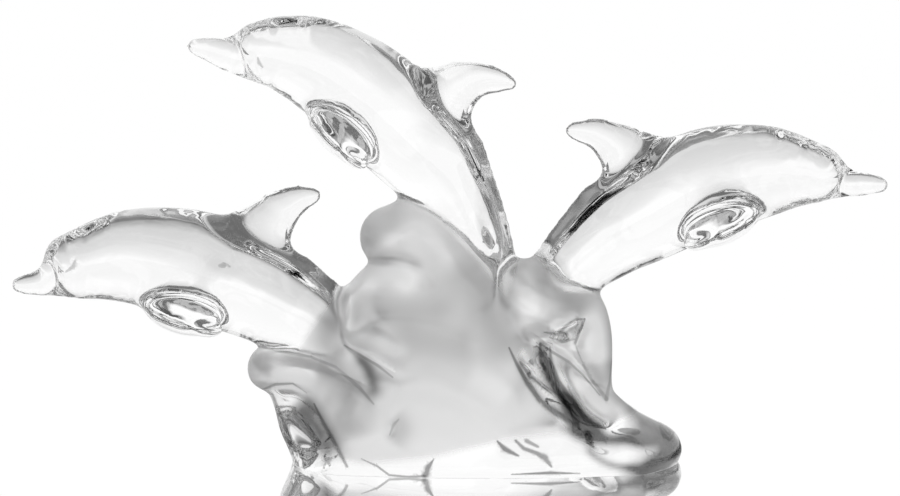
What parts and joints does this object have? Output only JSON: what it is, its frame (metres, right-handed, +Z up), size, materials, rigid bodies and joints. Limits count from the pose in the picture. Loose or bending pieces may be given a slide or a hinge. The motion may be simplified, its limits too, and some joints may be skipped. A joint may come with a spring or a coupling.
{
  "type": "dolphin figurine",
  "caption": "One-piece cast crystal ornament: leaping dolphins rise from a breaking wave with a flat ground foot.",
  "frame": {"origin": "middle of the bounding box at the height of the flat ground foot", "axes": "+Z up, +X along the length towards the dolphin that leaps to the right as seen from the front, +Y to the back"},
  "size_m": [0.2508, 0.0586, 0.1289],
  "materials": {
    "crystal": "polished clear dolphins and foot, satin-frosted wave"
  },
  "bodies": {
    "root": {"dolphin_figurine": "crystal"}
  },
  "joints": []
}
